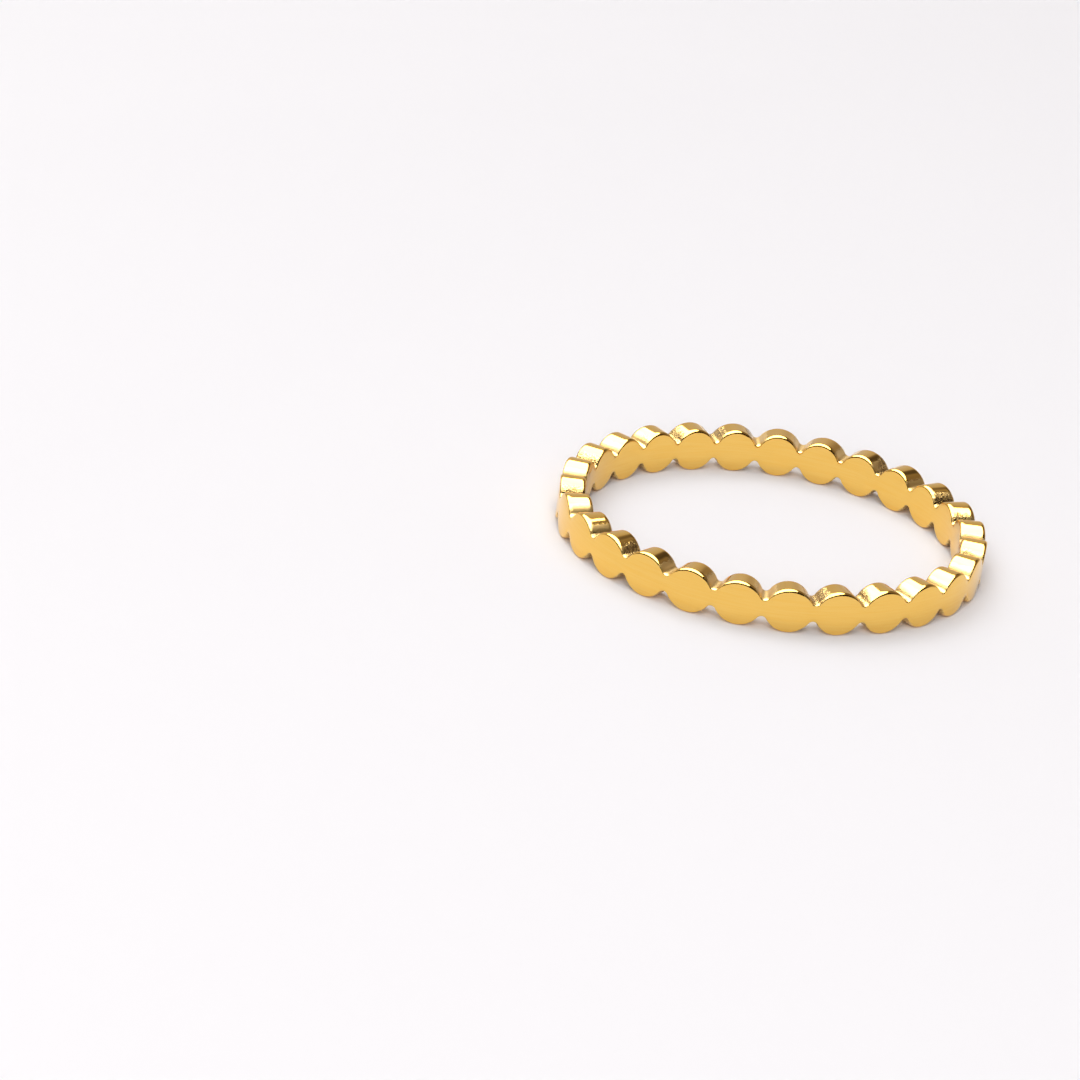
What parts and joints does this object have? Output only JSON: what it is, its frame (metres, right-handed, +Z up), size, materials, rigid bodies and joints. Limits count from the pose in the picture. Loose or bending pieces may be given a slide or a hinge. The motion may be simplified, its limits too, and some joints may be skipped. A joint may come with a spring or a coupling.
{
  "type": "stackable ring",
  "caption": "Slim finger ring in polished gold-tone metal; both rims are scalloped so the band reads as a row of small round discs.",
  "frame": {"origin": "middle of the ring at the level it rests on, lying on its side", "axes": "+Z runs up through the finger hole, the ring's axis of symmetry; +X points to the middle of one disc"},
  "size_m": [0.0196, 0.0196, 0.0021],
  "materials": {
    "gold": "high polish on the round faces and crowns, finely frosted in the notches"
  },
  "bodies": {
    "root": {"scalloped_band": "gold"}
  },
  "joints": []
}
